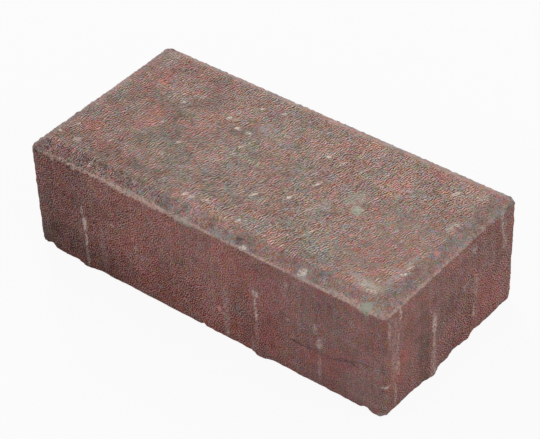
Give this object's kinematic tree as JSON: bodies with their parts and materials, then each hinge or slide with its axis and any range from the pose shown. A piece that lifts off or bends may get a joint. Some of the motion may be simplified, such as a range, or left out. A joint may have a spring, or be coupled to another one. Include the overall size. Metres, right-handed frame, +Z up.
{
  "type": "concrete paving stone",
  "caption": "Rectangular red and grey concrete paving stone with a chamfered wearing face and spacer ribs on its upright walls.",
  "frame": {"origin": "middle of the underside (bed face), on the surface that the stone lies on", "axes": "+X along the length, +Y across the width, +Z up through the chamfered wearing face"},
  "size_m": [0.2, 0.1, 0.06],
  "materials": {
    "coloured_concrete": "rough pressed concrete, mottled iron-oxide red and grey, sandy wearing face and smoother drawn walls"
  },
  "bodies": {
    "root": {"paving_stone": "coloured_concrete"}
  },
  "joints": []
}
